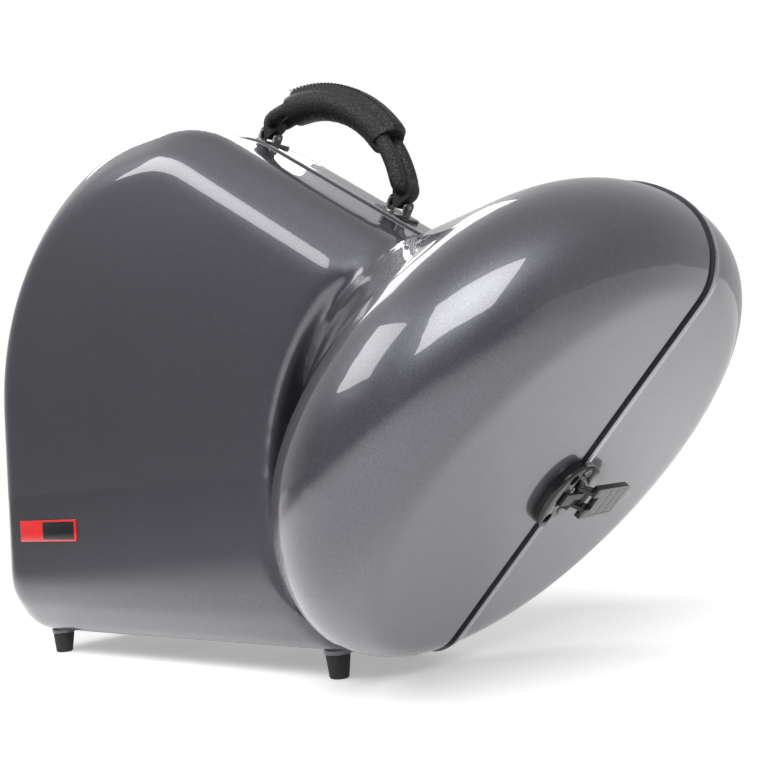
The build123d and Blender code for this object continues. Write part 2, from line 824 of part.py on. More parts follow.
def latch_link(plane):
    """The draw link: a bar on the lever's second pin with a lip that drops into the keeper."""
    low = link_pivot_lift - link_thickness / 2
    half = link_width / 2
    with BuildPart() as link:
        local_box(plane, (-half, half), (-link_reach, link_pivot_y), (low, low + link_thickness))
        local_box(plane, (-half, half), (-link_reach, link_thickness - link_reach), (pocket_floor + lip_gap, low))
        with BuildSketch(side_plane(plane, 0, link_pivot_y, link_pivot_lift)):
            Circle(latch_knuckle_radius)
        extrude(amount=half, both=True)
        with BuildSketch(side_plane(plane, 0, link_pivot_y, link_pivot_lift)):
            Circle(latch_pin_radius + pin_fit)
        extrude(amount=link_width, both=True, mode=Mode.SUBTRACT)
    return link.part


def latch_pin(plane, y, z, half_length):
    with BuildPart() as pin:
        with BuildSketch(side_plane(plane, 0, y, z)):
            Circle(latch_pin_radius)
        extrude(amount=half_length, both=True)
    return pin.part


for name, plane in latch_planes.items():
    export(latch_keeper(plane), f"{name}_latch_keeper")
    export(latch_base(plane), f"{name}_latch_base")
    export(latch_lever(plane), f"{name}_latch_lever")
    export(inlay(plane, 0), f"{name}_latch_inlay")
    export(latch_link(plane), f"{name}_latch_link")
    export(latch_pin(plane, lever_pivot_y, lever_pivot_lift, ear_start + cheek), f"{name}_latch_pivot_pin")
    export(latch_pin(plane, link_pivot_y, link_pivot_lift, cheek_start + cheek), f"{name}_latch_link_pin")

# Rivets and screws
export(rivet_group([(plane, plate_depth) for plane in hinge_rivet_planes(-1)]), "hinge_lid_rivets")
export(rivet_group([(plane, plate_depth) for plane in hinge_rivet_planes(1)]), "hinge_body_rivets")
export(rivet_group([(plane, keeper_ledge + wall) for plane in keeper_spots]), "keeper_rivets")
export(rivet_group([(plane, latch_plate + wall) for plane in base_spots]), "latch_base_rivets")
export(rivet_group([(plane, anchor_plate + wall) for plane in anchor_screw_planes]), "anchor_screws")
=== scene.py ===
import json
import math

import bpy
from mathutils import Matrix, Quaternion, Vector

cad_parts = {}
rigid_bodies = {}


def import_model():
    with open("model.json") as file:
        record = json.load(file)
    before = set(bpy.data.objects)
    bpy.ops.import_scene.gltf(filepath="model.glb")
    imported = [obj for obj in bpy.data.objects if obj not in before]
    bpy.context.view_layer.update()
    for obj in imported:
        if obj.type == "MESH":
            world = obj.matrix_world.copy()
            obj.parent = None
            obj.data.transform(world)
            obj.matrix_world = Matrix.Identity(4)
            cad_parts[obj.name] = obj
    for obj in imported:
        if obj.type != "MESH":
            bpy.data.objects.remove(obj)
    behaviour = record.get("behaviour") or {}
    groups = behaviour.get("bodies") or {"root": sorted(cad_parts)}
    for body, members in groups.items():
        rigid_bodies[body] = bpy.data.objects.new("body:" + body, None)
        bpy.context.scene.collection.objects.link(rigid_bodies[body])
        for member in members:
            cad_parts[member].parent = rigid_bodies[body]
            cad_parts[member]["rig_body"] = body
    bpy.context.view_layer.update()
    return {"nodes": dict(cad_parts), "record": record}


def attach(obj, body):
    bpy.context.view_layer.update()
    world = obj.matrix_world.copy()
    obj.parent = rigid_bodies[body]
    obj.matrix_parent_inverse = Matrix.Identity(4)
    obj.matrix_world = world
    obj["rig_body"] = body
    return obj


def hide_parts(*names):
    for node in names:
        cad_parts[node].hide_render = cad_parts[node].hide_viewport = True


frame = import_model()

# Sizes in metres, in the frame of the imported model.
seam_half_gap = 0.0025
wall = 0.003

# Wrap tray
tray_left = -0.2984
floor_height = 0.0185
tray_half_depth = 0.077
tray_top = 0.4025
crown_radius = 0.200
brow_x = -0.0784
brow_radius = 0.110
slope = math.radians(35.0)
tray_corner_radius = 0.046
valley_x = 0.1416
tray_foot_x = 0.0706
waist_x = 0.0356
waist_z = 0.150
bevel_width = 0.030
bevel_depth = 0.023
bevel_rounding = 0.024
ridge_rounding = 0.022

# Bell drum
mouth_centre = Vector((0.2153, 0, 0.1234))
mouth_tilt = math.radians(46.7)
drum_half_length = 0.169
drum_half_depth = 0.190
drum_top_rounding = 0.044
drum_foot_rounding = 0.030
drum_side_rounding = 0.048
shoulder_top_radius = 0.075
shoulder_foot_radius = 0.095
shoulder_side_radius = 0.130
throat_depth = 0.182
throat_radius = 0.052
oval_points = 120

# Paint skin
skin_voxel = 0.0034
skin_smoothing = 24
lip_height = 0.0016
lip_width = 0.009

# Lining, seal and feet
lining_gap = 0.0044
lining_thickness = 0.0085
lining_edge = 0.0008
lining_roll = 0.005
lining_voxel = 0.006
remesh_smoothing = 6
lining_smoothing = 10
seal_half_width = 0.0023
seal_depth = 0.005
seal_sink = 0.0007
seal_bead = 0.0014
seal_lines = (-0.0016, -0.0008, 0.0, 0.0008, 0.0016)
foot_x = (-0.252, 0.052)
foot_y = 0.040
foot_top = 0.016
collar_radius = 0.0095
collar_rounding = 0.0008
foam_voxel = 0.0035
foam_smoothing = 14

# Rigid fittings
weld_distance = 0.00001
sharp_angle = 35
fitting_edge = 0.0004
foot_edge = 0.0007

# Handle
anchor_left_x = -0.0414
anchor_right_x = 0.0846
handle_y = 0.021
handle_pin_lift = 0.0088
handle_rise = 0.053
cord_radius = 0.0059
strand = 0.0075
cord_end_inset = 0.0085
cord_start_lift = 0.024
sleeve_half_width = 0.0150
sleeve_half_height = 0.0120
strap_half_width = 0.0052
strap_radius = 0.0086
knuckle_radius = 0.0038

# Leather sleeve: its ends as shares of the bow, its flap and groove as degrees from its top
sleeve_start = -0.80
sleeve_end = 0.56
sleeve_tuck = 0.012
sleeve_mouth = 0.86
flap_start = -58
flap_end = 30
flap_slope = 8
flap_height = 0.0034
groove_end = 42
groove_depth = 0.0024
wrinkle_height = 0.0005
stitch_count = 34
stitch_angle = 22
stitch_lift = 0.0036
stitch_half_length = 0.0011
stitch_radius = 0.00042

# Blank plate
plate_left = -0.2495
plate_right = -0.1755
plate_bottom = 0.0955
plate_top = 0.1125
plate_border = 0.0014
plate_thickness = 0.0014
plate_embed = 0.0008
plate_rounding = 0.0006
field_left = plate_left + plate_border + 0.030
field_thickness = 0.0018

# Stage
lit_radius = 0.45
white_radius = 1.15
floor_size = 16
floor_glow = 0.35
backdrop_mirrored = 0.45
room_tone = (0.19, 0.19, 0.203)
front_directions = (0.15, -0.45)
ceiling_directions = (0.75, 0.30)
camera_angles = (37.906, -4.044, -4.157)
camera_target = (0.0728, 0, 0.1969)
camera_distance = 0.7271
camera_lens = 49.59

along = Vector((math.cos(mouth_tilt), 0, math.sin(mouth_tilt)))
outward = Vector((math.sin(mouth_tilt), 0, -math.cos(mouth_tilt)))
crown_x = tray_left + crown_radius
crown_z = tray_top - crown_radius
brow_z = tray_top - brow_radius


# Shader maths
class Field:
    """A shader socket that ordinary arithmetic can be written on."""

    def __init__(self, recipe, socket):
        self.recipe = recipe
        self.socket = socket

    def combine(self, operation, first, second):
        return self.recipe.add("ShaderNodeMath", {"operation": operation}, {0: first, 1: second})

    def __add__(self, other):
        return self.combine("ADD", self, other)

    def __mul__(self, other):
        return self.combine("MULTIPLY", self, other)

    __radd__ = __add__
    __rmul__ = __mul__


class Recipe:
    """A material under construction: its nodes, its Principled shader and its Object coordinates."""

    def __init__(self, name):
        self.material = bpy.data.materials.new(name)
        self.material.use_nodes = True
        self.tree = self.material.node_tree
        self.shader = self.tree.nodes["Principled BSDF"]
        self.place = self.add("ShaderNodeTexCoord", output="Object")

    def add(self, kind, settings=None, inputs=None, output=0):
        """Adds a node, first its settings, then the values or links of its sockets."""
        node = self.tree.nodes.new(kind)
        for name, value in (settings or {}).items():
            setattr(node, name, value)
        for name, value in (inputs or {}).items():
            self.feed(node.inputs[name], value)
        return Field(self, node.outputs[output])

    def feed(self, socket, value):
        if isinstance(value, Field):
            self.tree.links.new(value.socket, socket)
        elif isinstance(value, tuple) and len(value) == 3 and socket.type == "RGBA":
            socket.default_value = (*value, 1)
        else:
            socket.default_value = value

    def noise(self, scale, detail, rough=0.5):
        inputs = {"Vector": self.place, "Scale": scale, "Detail": detail, "Roughness": rough}
        return self.add("ShaderNodeTexNoise", {}, inputs)

    def band(self, value, low, high):
        """0 below low, 1 above high and smooth between them."""
        settings = {"interpolation_type": "SMOOTHSTEP"}
        return self.add("ShaderNodeMapRange", settings, {0: value, 1: low, 2: high})

    def blend(self, factor, first, second):
        """A colour between first and second."""
        node = self.tree.nodes.new("ShaderNodeMix")
        node.data_type = "RGBA"
        for socket, value in zip((node.inputs[0], node.inputs[6], node.inputs[7]), (factor, first, second)):
            self.feed(socket, value)
        return Field(self, node.outputs[2])

    def bump(self, height, strength, distance):
        inputs = {"Height": height, "Strength": strength, "Distance": distance}
        return self.add("ShaderNodeBump", {}, inputs)

    def finish(self, **sockets):
        """Feeds the Principled shader; underscores stand for the blanks in its socket names."""
        for name, value in sockets.items():
            self.feed(self.shader.inputs[name.replace("_", " ")], value)
        return self.material


def metallic_paint():
    recipe = Recipe("graphite_metallic")
    flake = recipe.band(recipe.noise(2600, 1), 0.5, 0.72)
    cloud = recipe.noise(9, 2)
    tone = recipe.blend(cloud, (0.066, 0.067, 0.078), (0.078, 0.079, 0.091))
    return recipe.finish(
        Base_Color=recipe.blend(flake * 0.5, tone, (0.19, 0.19, 0.215)),
        Metallic=0.8,
        Roughness=0.40 + 0.05 * recipe.noise(60, 3),
        Coat_Weight=1.0,
        Coat_Roughness=0.02,
        Coat_IOR=1.5,
    )


def black_lacquer():
    recipe = Recipe("black_lacquer")
    smear = recipe.noise(180, 4)
    return recipe.finish(
        Base_Color=recipe.blend(smear, (0.010, 0.010, 0.011), (0.017, 0.017, 0.018)),
        Roughness=0.14 + 0.12 * smear,
        Specular_IOR_Level=0.3,
        Coat_Weight=0.3,
        Coat_Roughness=0.05,
    )


def black_steel():
    recipe = Recipe("black_steel")
    grain = recipe.noise(900, 3)
    return recipe.finish(
        Base_Color=recipe.blend(grain, (0.014, 0.014, 0.015), (0.028, 0.028, 0.03)),
        Roughness=0.24 + 0.12 * grain,
        Specular_IOR_Level=0.3,
        Normal=recipe.bump(grain, 0.15, 0.0002),
    )


def zinc_steel():
    recipe = Recipe("zinc_steel")
    grain = recipe.noise(700, 4)
    return recipe.finish(
        Base_Color=recipe.blend(grain, (0.16, 0.16, 0.17), (0.30, 0.30, 0.31)),
        Metallic=0.9,
        Roughness=0.28 + 0.2 * grain,
    )


def grey_inlay():
    recipe = Recipe("grey_inlay")
    grain = recipe.noise(1400, 3)
    return recipe.finish(
        Base_Color=recipe.blend(grain, (0.10, 0.10, 0.105), (0.17, 0.17, 0.175)),
        Roughness=0.34 + 0.2 * grain,
        Normal=recipe.bump(grain, 0.2, 0.0002),
    )


def black_rubber():
    recipe = Recipe("black_rubber")
    grain = recipe.noise(1100, 4)
    return recipe.finish(
        Base_Color=recipe.blend(grain, (0.008, 0.008, 0.008), (0.018, 0.018, 0.018)),
        Roughness=0.62 + 0.2 * grain,
        Normal=recipe.bump(grain, 0.3, 0.0003),
    )


def black_leather():
    recipe = Recipe("black_leather")
    settings = {"feature": "DISTANCE_TO_EDGE"}
    inputs = {"Vector": recipe.place, "Scale": 620.0}
    cells = recipe.add("ShaderNodeTexVoronoi", settings, inputs, "Distance")
    pores = recipe.band(cells, 0.0, 0.22)
    folds = recipe.noise(55, 5, 0.6)
    grain = recipe.noise(420, 4)
    relief = pores * 0.6 + folds * 0.9 + grain * 0.4
    return recipe.finish(
        Base_Color=recipe.blend(folds, (0.005, 0.005, 0.006), (0.014, 0.014, 0.015)),
        Roughness=0.38 + 0.14 * grain,
        Specular_IOR_Level=0.35,
        Normal=recipe.bump(relief, 0.55, 0.0012),
    )


def black_plush():
    recipe = Recipe("black_plush")
    pile = recipe.noise(1500, 3)
    nap = recipe.noise(26, 4)
    recipe.shader.inputs["Sheen Weight"].default_value = 0.5
    recipe.shader.inputs["Sheen Roughness"].default_value = 0.5
    return recipe.finish(
        Base_Color=recipe.blend(nap, (0.010, 0.010, 0.012), (0.032, 0.032, 0.036)),
        Roughness=0.92,
        Normal=recipe.bump(pile + 0.4 * nap, 0.5, 0.0015),
    )


def red_enamel():
    recipe = Recipe("red_enamel")
    haze = recipe.noise(300, 3)
    return recipe.finish(
        Base_Color=recipe.blend(haze, (0.52, 0.012, 0.012), (0.62, 0.02, 0.018)),
        Roughness=0.2 + 0.1 * haze,
        Coat_Weight=0.5,
        Coat_Roughness=0.04,
    )


finishes = {
    "shell_paint": metallic_paint(),
    "black_lacquer": black_lacquer(),
    "black_steel": black_steel(),
    "zinc_steel": zinc_steel(),
    "grey_inlay": grey_inlay(),
    "black_rubber": black_rubber(),
    "black_leather": black_leather(),
    "plush": black_plush(),
    "red_enamel": red_enamel(),
}
finishes["foam"] = finishes["plush"]
slots = {row["node"]: row["material_slot"] for row in frame["record"]["subparts"]}


# Modelling helpers
def activate(piece):
    bpy.ops.object.select_all(action="DESELECT")
    piece.select_set(True)
    bpy.context.view_layer.objects.active = piece


def modify(piece, kind, **settings):
    """Adds one modifier, sets it and applies it."""
    activate(piece)
    modifier = piece.modifiers.new(kind.title(), kind)
    for name, value in settings.items():
        setattr(modifier, name, value)
    bpy.ops.object.modifier_apply(modifier=modifier.name)


def edit(piece, *steps):
    """Runs edit mode operators, each given with its settings, on the whole mesh."""
    activate(piece)
    bpy.ops.object.mode_set(mode="EDIT")
    bpy.ops.mesh.select_all(action="SELECT")
    for operator, settings in steps:
        operator(**settings)
    bpy.ops.object.mode_set(mode="OBJECT")


def shade(piece, angle):
    """Smooth shading, except across edges sharper than the angle in degrees."""
    activate(piece)
    bpy.ops.object.shade_smooth_by_angle(angle=math.radians(angle))


def slice_at(piece, y, side, **ends):
    """Cuts a piece by the plane at y whose normal points to the given side."""
    edit(piece, (bpy.ops.mesh.bisect, {"plane_co": (0, y, 0), "plane_no": (0, side, 0), **ends}))


def stand_for(piece, node, slot, body):
    """Dresses a piece, puts it in the place of its CAD node and lets it ride on its body."""
    dress(piece, slot)
    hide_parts(node)
    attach(piece, body)


def join(pieces):
    activate(pieces[0])
    for piece in pieces:
        piece.select_set(True)
    bpy.ops.object.join()
    return pieces[0]


def twin(piece, name):
    """A copy with its own mesh."""
    copy = piece.copy()
    copy.data = piece.data.copy()
    copy.name = copy.data.name = name
    copy.parent = None
    bpy.context.scene.collection.objects.link(copy)
    return copy


def swell(piece, amount):
    """Moves each vertex along its normal by what amount gives for its place."""
    normals = [vertex.normal.copy() for vertex in piece.data.vertices]
    for vertex, normal in zip(piece.data.vertices, normals):
        vertex.co += normal * amount(vertex.co)


def dress(piece, slot):
    """Gives a piece the finish of one of the record's slots."""
    piece.data.materials.clear()
    piece.data.materials.append(finishes[slot])
    slot in slots.values()


def loft(name, rings, closed=False):
    """A mesh from rings of equally many points, capped at both ends or closed on itself."""
    count = len(rings[0])
    points = [tuple(point) for ring in rings for point in ring]
    faces = []
    spans = len(rings) if closed else len(rings) - 1
    for row in range(spans):
        below, above = row * count, (row + 1) % len(rings) * count
        for n in range(count):
            m = (n + 1) % count
            faces.append((below + n, below + m, above + m, above + n))
    if not closed:
        faces.append(tuple(reversed(range(count))))
        faces.append(tuple(range(len(points) - count, len(points))))
    mesh = bpy.data.meshes.new(name)
    mesh.from_pydata(points, [], faces)
    piece = bpy.data.objects.new(name, mesh)
    bpy.context.scene.collection.objects.link(piece)
    edit(piece, (bpy.ops.mesh.normals_make_consistent, {"inside": False}))
    return piece


# Wrap tray
def arc(centre, radius, start, end, steps):
    """Points of an arc in the XZ plane, its angles in degrees."""
    angles = [math.radians(start + (end - start) * n / steps) for n in range(steps)]
    return [(centre[0] + radius * math.cos(a), centre[1] + radius * math.sin(a)) for a in angles]


def straight(start, end, steps):
    dx, dz = end[0] - start[0], end[1] - start[1]
    return [(start[0] + dx * n / steps, start[1] + dz * n / steps) for n in range(steps)]


def circle_through(a, b, c):
    """Centre and radius of the circle through three points."""
    d = 2 * (a[0] * (b[1] - c[1]) + b[0] * (c[1] - a[1]) + c[0] * (a[1] - b[1]))
    sa, sb, sc = (p[0] ** 2 + p[1] ** 2 for p in (a, b, c))
    x = (sa * (b[1] - c[1]) + sb * (c[1] - a[1]) + sc * (a[1] - b[1])) / d
    z = (sa * (c[0] - b[0]) + sb * (a[0] - c[0]) + sc * (b[0] - a[0])) / d
    return (x, z), math.hypot(a[0] - x, a[1] - z)


brow_start = (brow_x + brow_radius * math.sin(slope), brow_z + brow_radius * math.cos(slope))
valley_z = brow_start[1] - (valley_x - brow_start[0]) * math.tan(slope)
waist_circle = circle_through((tray_foot_x, floor_height), (waist_x, waist_z), (valley_x, valley_z))


def tray_outline(inset):
    """The outline of the tray, drawn in by inset except along the waist that faces the drum."""
    (cx, cz), radius = waist_circle
    bottom = floor_height + inset
    left = tray_left + inset
    corner = tray_corner_radius - inset
    top = (brow_x + (brow_radius - inset) * math.sin(slope), brow_z + (brow_radius - inset) * math.cos(slope))
    foot_angle = 180 + math.degrees(math.asin((cz - bottom) / radius))
    dx, dz = top[0] - cx, top[1] - cz
    half = dx * math.cos(slope) - dz * math.sin(slope)
    reach = -half - math.sqrt(half**2 - (dx**2 + dz**2 - radius**2))
    valley = (top[0] + reach * math.cos(slope), top[1] - reach * math.sin(slope))
    valley_angle = math.degrees(math.atan2(valley[1] - cz, valley[0] - cx)) % 360
    foot = (cx + radius * math.cos(math.radians(foot_angle)), bottom)
    return (
        arc((cx, cz), radius, foot_angle, valley_angle, 24)
        + straight(valley, top, 12)
        + arc((brow_x, brow_z), brow_radius - inset, 90 - math.degrees(slope), 90, 14)
        + straight((brow_x, tray_top - inset), (crown_x, tray_top - inset), 2)
        + arc((crown_x, crown_z), crown_radius - inset, 90, 180, 36)
        + straight((left, crown_z), (left, floor_height + tray_corner_radius), 8)
        + arc((left + corner, bottom + corner), corner, 180, 270, 12)
        + straight((left + corner, bottom), foot, 14)
    )


def rounded(before, corner, after, length, steps):
    """A soft turn at a corner of a profile, tangent length along both sides."""
    start = corner + (before - corner).normalized() * length
    end = corner + (after - corner).normalized() * length
    turns = [n / steps for n in range(steps + 1)]
    return [start * (1 - t) ** 2 + corner * 2 * t * (1 - t) + end * t**2 for t in turns]


def build_tray():
    """The tray from its back panel over the bevel, the wall and the bevel to its front panel."""
    wall_point = Vector((0, 0))
    shoulder = Vector((0, tray_half_depth - bevel_depth))
    ridge = Vector((bevel_width, tray_half_depth))
    panel = Vector((2 * bevel_width, tray_half_depth))
    shoulder_turn = math.atan2(bevel_width, bevel_depth)
    shoulder_length = bevel_rounding * math.tan(shoulder_turn / 2)
    ridge_length = ridge_rounding * math.tan((math.pi / 2 - shoulder_turn) / 2)
    profile = rounded(wall_point, shoulder, ridge, shoulder_length, 8)
    profile += rounded(shoulder, ridge, panel, ridge_length, 5)
    both = [Vector((inset, -y)) for inset, y in reversed(profile)] + profile
    return loft("tray", [[(x, y, z) for x, z in tray_outline(max(inset, 0))] for inset, y in both])


# Bell drum
def drum_oval(top, foot, half_width):
    """An oval ring through its top and foot points."""
    middle, half = (top + foot) / 2, (top - foot) / 2
    turns = [2 * math.pi * n / oval_points for n in range(oval_points)]
    return [middle + half * math.cos(a) + Vector((0, half_width * math.sin(a), 0)) for a in turns]


def build_drum():
    """The drum from its mouth face round the rim and over the shoulder to the throat."""
    rings = []
    for angle in (15, 25, 35, 45, 55, 65, 75, 90):
        pull, sink = 1 - math.sin(math.radians(angle)), 1 - math.cos(math.radians(angle))
        top = along * (drum_half_length - drum_top_rounding * pull) - outward * drum_top_rounding * sink
        foot = along * (drum_foot_rounding * pull - drum_half_length) - outward * drum_foot_rounding * sink
        half_width = drum_half_depth - drum_side_rounding * pull
        rings.append(drum_oval(mouth_centre + top, mouth_centre + foot, half_width))
    for angle in (7.5, 15, 22.5, 30, 37.5, 45):
        pull, reach = 1 - math.cos(math.radians(angle)), math.sin(math.radians(angle))
        top_depth = drum_top_rounding + shoulder_top_radius * reach
        foot_depth = drum_foot_rounding + shoulder_foot_radius * reach
        top = along * (drum_half_length - shoulder_top_radius * pull) - outward * top_depth
        foot = along * (shoulder_foot_radius * pull - drum_half_length) - outward * foot_depth
        half_width = drum_half_depth - shoulder_side_radius * pull
        rings.append(drum_oval(mouth_centre + top, mouth_centre + foot, half_width))
    throat = mouth_centre - outward * throat_depth
    rings.append(drum_oval(throat + along * throat_radius, throat - along * throat_radius, throat_radius))
    return loft("drum", rings)


# Painted halves, one smooth skin parted at the seam
def build_halves():
    whole = join([build_tray(), build_drum()])
    modify(whole, "REMESH", mode="VOXEL", voxel_size=skin_voxel, use_smooth_shade=True)
    modify(whole, "SMOOTH", factor=0.5, iterations=skin_smoothing)
    halves = (("front_skin", -1, "lid", "front_shell"), ("back_skin", 1, "body", "back_shell"))
    for name, side, body, node in halves:
        skin = twin(whole, name)
        slice_at(skin, side * seam_half_gap, side, clear_inner=True)
        if side > 0:
            raise_lip(skin)
        modify(skin, "SOLIDIFY", thickness=wall, offset=-1)
        skin = join([skin] + [foot_collar(x, side * foot_y) for x in foot_x])
        shade(skin, 50)
        stand_for(skin, node, "shell_paint", body)
    return whole


def foot_collar(x, y):
    """The moulded boss that a foot is screwed to, its lower edge softened."""
    height = floor_height + wall / 2 - foot_top
    bpy.ops.mesh.primitive_cylinder_add(
        vertices=48, radius=collar_radius, depth=height, location=(x, y, foot_top + height / 2)
    )
    collar = bpy.context.object
    bpy.ops.object.transform_apply()
    modify(collar, "BEVEL", width=collar_rounding, segments=3, limit_method="ANGLE")
    return collar


def raise_lip(skin):
    """The back half stands a little proud along the seam."""

    def rise(place):
        depth = (place.y - seam_half_gap) / lip_width
        return lip_height * (1 - max(depth, 0) ** 4) if depth < 1 else 0

    swell(skin, rise)


whole_skin = build_halves()


# Plush linings that follow the halves, with a rolled edge at the seam
def build_lining(name, side, node, body):
    """One lining: the skin drawn in, its edge at the seam rolled, and thickened inwards."""
    lining = twin(whole_skin, name)
    modify(lining, "REMESH", mode="VOXEL", voxel_size=lining_voxel, use_smooth_shade=True)
    modify(lining, "SMOOTH", factor=0.5, iterations=remesh_smoothing)
    swell(lining, lambda place: -lining_gap)
    modify(lining, "SMOOTH", factor=0.5, iterations=lining_smoothing)
    slice_at(lining, side * (seam_half_gap + lining_edge), side, clear_inner=True)

    def roll(place):
        depth = (side * place.y - seam_half_gap - lining_edge) / lining_roll
        return -lining_roll / 2 * (1 - max(depth, 0)) ** 2 if depth < 1 else 0

    swell(lining, roll)
    modify(lining, "SOLIDIFY", thickness=lining_thickness, offset=-1)
    shade(lining, 60)
    stand_for(lining, node, "plush", body)


build_lining("front_plush", -1, "front_lining", "lid")
build_lining("back_plush", 1, "back_lining", "body")


# Rubber seal in the parting line, its outer face a half-round bead
def build_seal():
    seal = twin(whole_skin, "rubber_seal")
    steps = (-seal_half_width, *seal_lines, seal_half_width - 0.0002)
    for y in steps:
        slice_at(seal, y, 1, clear_inner=y == steps[0], clear_outer=y == steps[-1])
    swell(seal, lambda place: -seal_sink - seal_bead * min(abs(place.y) / seal_half_width, 1) ** 2)
    modify(seal, "SOLIDIFY", thickness=seal_depth - 0.001, offset=-1)
    shade(seal, 60)
    stand_for(seal, "edge_seal", "black_rubber", "lid")


build_seal()
bpy.data.objects.remove(whole_skin)


# Foam blocks under plush, their edges softened
def build_foam(node):
    foam = twin(frame["nodes"][node], node + "_plush")
    edit(foam, (bpy.ops.mesh.remove_doubles, {"threshold": weld_distance}))
    modify(foam, "REMESH", mode="VOXEL", voxel_size=foam_voxel, use_smooth_shade=True)
    modify(foam, "SMOOTH", factor=0.5, iterations=foam_smoothing)
    activate(foam)
    bpy.ops.object.shade_smooth()
    stand_for(foam, node, "foam", "body")


for foam_node in ("wrap_block", "corner_divider", "throat_saddle"):
    build_foam(foam_node)


# Rigid fittings: the CAD nodes with softened edges
def fitting(node, slot, edge):
    """A copy of a CAD node, its doubles merged and its edges broken."""
    source = frame["nodes"][node]
    piece = twin(source, node + "_fitting")
    edit(
        piece,
        (bpy.ops.mesh.remove_doubles, {"threshold": weld_distance}),
        (bpy.ops.mesh.dissolve_limited, {"angle_limit": math.radians(2)}),
    )
    modify(
        piece,
        "BEVEL",
        width=edge,
        segments=3,
        limit_method="ANGLE",
        angle_limit=math.radians(sharp_angle),
        use_clamp_overlap=True,
    )
    shade(piece, sharp_angle)
    stand_for(piece, node, slot, source["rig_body"])


# Carry handle
anchor_left_z = brow_z + math.sqrt(brow_radius**2 - (anchor_left_x - brow_x) ** 2)
anchor_left = Vector((anchor_left_x, handle_y, anchor_left_z))
anchor_right_z = brow_start[1] - (anchor_right_x - brow_start[0]) * math.tan(slope)
anchor_right = Vector((anchor_right_x, handle_y, anchor_right_z))
grip_along = (anchor_right - anchor_left).normalized()
grip_up = grip_along.cross(Vector((0, 1, 0)))
grip_centre = (anchor_left + anchor_right) / 2
chord_half = (anchor_right - anchor_left).length / 2 - cord_end_inset
bow_lift = handle_rise - cord_start_lift
bow_radius = (chord_half**2 + bow_lift**2) / (2 * bow_lift)
bow_centre = handle_rise - bow_radius
bow_angle = math.asin(chord_half / bow_radius)
turn_x = chord_half + strand * math.cos(bow_angle)
turn_z = cord_start_lift - strand * math.sin(bow_angle)


def at_grip(x, y, z):
    """A point given along the handle, across it and above its chord."""
    return grip_centre + grip_along * x + Vector((0, y, 0)) + grip_up * z


def bow_point(angle, y=0.0, lift=0.0):
    """A point on the bow of the handle, its angle counted from the top."""
    radius = bow_radius + lift
    return at_grip(radius * math.sin(angle), y, bow_centre + radius * math.cos(angle))


def cord_route():
    """The closed line of the cord: out along one strand, round, back along the other and round."""
    points = []
    for side in (-1, 1):
        for n in range(40):
            points.append(bow_point(side * bow_angle * (1 - 2 * n / 40), side * strand))
        tangent = grip_along * math.cos(bow_angle) * -side - grip_up * math.sin(bow_angle)
        end = at_grip(-side * chord_half, 0, cord_start_lift)
        for n in range(14):
            turn = math.pi * (n / 14 - 0.5)
            sideways = Vector((0, side * strand * math.sin(turn), 0))
            points.append(end + tangent * strand * math.cos(turn) - sideways)
    return points


def tube(name, points, radius, sides=28):
    """A closed tube along a loop of points, its rings carried along without a twist."""
    rings = []
    across = Vector((0, 1, 0))
    for n, point in enumerate(points):
        forward = (points[(n + 1) % len(points)] - points[n - 1]).normalized()
        across = (across - forward * across.dot(forward)).normalized()
        upward = forward.cross(across)
        turns = [2 * math.pi * m / sides for m in range(sides)]
        rings.append([point + (across * math.cos(a) + upward * math.sin(a)) * radius for a in turns])
    return loft(name, rings, closed=True)


def finish_leather(piece, node):
    shade(piece, 50)
    stand_for(piece, node, "black_leather", "handle")


def build_cord():
    cord = tube("cord_loop", cord_route(), cord_radius)
    modify(cord, "SUBSURF", levels=1, render_levels=1)
    finish_leather(cord, "handle_cord")


def sleeve_ring(angle, scale, flap):
    """One ring of the leather sleeve: an oval with a raised flap along its top and a groove beside it."""
    ring = []
    sides = 72
    for n in range(sides):
        a = 2 * math.pi * n / sides
        across = -math.sin(a) * sleeve_half_width * scale
        lift = math.cos(a) * sleeve_half_height * scale
        top = math.degrees(a if a < math.pi else a - 2 * math.pi)
        if flap and flap_start <= top <= flap_end:
            edge = min(top - flap_start, flap_end - top) / flap_slope
            lift += flap_height * flap * min(1, max(0, edge))
        elif flap and flap_end < top < groove_end:
            lift -= groove_depth * flap
        wrinkle = math.sin(angle * 210) * math.sin(angle * 67 + 1.3)
        inner = max(0.0, -math.cos(a)) * max(0.0, 1 - (angle / (0.5 * bow_angle)) ** 2)
        lift += wrinkle_height * wrinkle * inner
        ring.append(bow_point(angle, across, lift))
    return ring


def build_sleeve():
    start, end = sleeve_start * bow_angle, sleeve_end * bow_angle
    steps = 90
    rings = [sleeve_ring(start + sleeve_tuck, sleeve_mouth, 0)]
    for n in range(steps + 1):
        share = n / steps
        near_end = min(share, 1 - share)
        scale = 0.97 + 0.03 * min(1, near_end * 20)
        rings.append(sleeve_ring(start + (end - start) * share, scale, min(1, near_end * 60)))
    rings.append(sleeve_ring(end - sleeve_tuck, sleeve_mouth, 0))
    sleeve = loft("grip_sleeve", rings)
    places = [(n + 0.5) / stitch_count for n in range(stitch_count)]
    stitches = [stitch(start + (end - start) * place) for place in places]
    finish_leather(join([sleeve] + stitches), "handle_sleeve")


